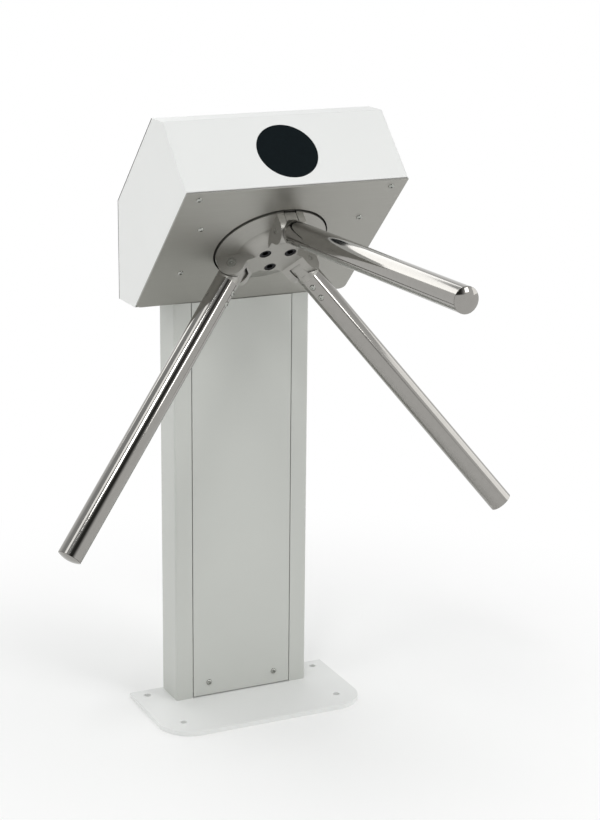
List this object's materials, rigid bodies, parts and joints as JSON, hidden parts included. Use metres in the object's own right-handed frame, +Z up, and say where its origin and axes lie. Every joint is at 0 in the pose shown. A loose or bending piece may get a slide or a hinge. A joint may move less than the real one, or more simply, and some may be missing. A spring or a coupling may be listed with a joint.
{
  "type": "tripod turnstile",
  "caption": "Floor-standing tripod turnstile: slanted head on a sheet-metal pillar, with a turning hub and drop arms of polished tube.",
  "frame": {"origin": "centre of the base plate's underside, on the floor", "axes": "+Z up, -Y out of the front where the arms are, +X to the right seen from the front"},
  "size_m": [0.8189, 0.8073, 1.05],
  "materials": {
    "head_paint": "satin powder paint",
    "pillar_paint": "satin powder paint",
    "base_paint": "satin powder paint",
    "satin_stainless": "brushed",
    "polished_stainless": "polished",
    "hub_steel": "satin turned",
    "zinc_steel": "zinc plated",
    "black_steel": "black oxide",
    "bearing_steel": "ground",
    "cast_housing": "machined casting",
    "dark_lens": "smoked acrylic",
    "black_plastic": "moulded",
    "clear_plastic": "diffuse",
    "circuit_board": "solder mask",
    "brass_spacer": "turned",
    "lock_chrome": "plated"
  },
  "bodies": {
    "stand": {"base_plate": "base_paint", "bearing_housing": "cast_housing", "bearing_outer_rings": "bearing_steel", "bearing_rollers": "bearing_steel", "board_components": "black_plastic", "board_standoffs": "brass_spacer", "chassis_legs": "zinc_steel", "chassis_plate": "zinc_steel", "chassis_standoffs": "zinc_steel", "column": "pillar_paint", "column_top_plate": "pillar_paint", "control_board": "circuit_board", "damper_body": "black_plastic", "face_plate": "satin_stainless", "face_plate_screws": "zinc_steel", "front_panel": "pillar_paint", "head_bolts": "zinc_steel", "head_floor": "zinc_steel", "hood_wrapper": "head_paint", "housing_bolts": "black_steel", "indicator_board": "circuit_board", "indicator_holder": "black_plastic", "indicator_leds": "clear_plastic", "indicator_window": "dark_lens", "left_side_panel": "head_paint", "lock_barrel": "lock_chrome", "mechanism_posts": "zinc_steel", "panel_brackets": "zinc_steel", "panel_screws": "zinc_steel", "pawl_pins": "bearing_steel", "position_sensor": "black_plastic", "rear_plate": "zinc_steel", "right_side_panel": "head_paint", "solenoid_bodies": "black_plastic"},
    "rotor": {"hub": "hub_steel", "hub_screws": "black_steel", "pivot_bolts": "zinc_steel", "main_shaft": "bearing_steel", "bearing_inner_rings": "bearing_steel", "lock_disc": "bearing_steel", "sensor_disc": "zinc_steel", "shaft_nut": "zinc_steel"},
    "arm_1": {"arm_tube_1": "polished_stainless", "arm_knuckle_1": "hub_steel", "arm_end_cap_1": "polished_stainless", "arm_screws_1": "zinc_steel"},
    "arm_2": {"arm_tube_2": "polished_stainless", "arm_knuckle_2": "hub_steel", "arm_end_cap_2": "polished_stainless", "arm_screws_2": "zinc_steel"},
    "arm_3": {"arm_tube_3": "polished_stainless", "arm_knuckle_3": "hub_steel", "arm_end_cap_3": "polished_stainless", "arm_screws_3": "zinc_steel"},
    "left_pawl": {"left_pawl": "bearing_steel"},
    "left_plunger": {"left_plunger": "bearing_steel"},
    "right_pawl": {"right_pawl": "bearing_steel"},
    "right_plunger": {"right_plunger": "bearing_steel"},
    "lock_key": {"key_cylinder": "lock_chrome", "lock_cam": "zinc_steel"}
  },
  "joints": [
    {"name": "hub_spin", "type": "hinge", "parent": "stand", "child": "rotor", "pos_m": [0, -0.0802, 0.8392], "axis": [0, -0.7071, -0.7071], "continuous": true},
    {"name": "arm_1_drop", "type": "hinge", "parent": "rotor", "child": "arm_1", "pos_m": [0.00267, -0.1443, 0.87331], "axis": [0.9993, 0.0271, -0.0271], "range_deg": [0, 45]},
    {"name": "arm_2_drop", "type": "hinge", "parent": "rotor", "child": "arm_2", "pos_m": [-0.06148, -0.07227, 0.80129], "axis": [-0.4664, -0.6255, 0.6255], "range_deg": [0, 45]},
    {"name": "arm_3_drop", "type": "hinge", "parent": "rotor", "child": "arm_3", "pos_m": [0.05881, -0.069, 0.79802], "axis": [-0.5329, 0.5983, -0.5983], "range_deg": [0, 45]},
    {"name": "left_pawl_swing", "type": "hinge", "parent": "stand", "child": "left_pawl", "pos_m": [-0.084, 0.03506, 0.89789], "axis": [0, 0.7071, 0.7071], "range_deg": [0, 8], "stiffness_Nm_per_rad": 0.5},
    {"name": "left_plunger_slide", "type": "slide", "parent": "stand", "child": "left_plunger", "axis": [1, 0, 0], "range_m": [0, 0.01]},
    {"name": "right_pawl_swing", "type": "hinge", "parent": "stand", "child": "right_pawl", "pos_m": [0.084, 0.03506, 0.89789], "axis": [0, -0.7071, -0.7071], "range_deg": [0, 8], "stiffness_Nm_per_rad": 0.5},
    {"name": "right_plunger_slide", "type": "slide", "parent": "stand", "child": "right_plunger", "axis": [-1, 0, 0], "range_m": [0, 0.01]},
    {"name": "key_turn", "type": "hinge", "parent": "stand", "child": "lock_key", "pos_m": [0, 0.11, 0.79], "axis": [0, 1, 0], "range_deg": [0, 90]}
  ],
  "couplings": [
    {"joint": "left_plunger_slide", "follows": "left_pawl_swing", "m_per_rad": 0.07},
    {"joint": "right_plunger_slide", "follows": "right_pawl_swing", "m_per_rad": 0.07}
  ]
}
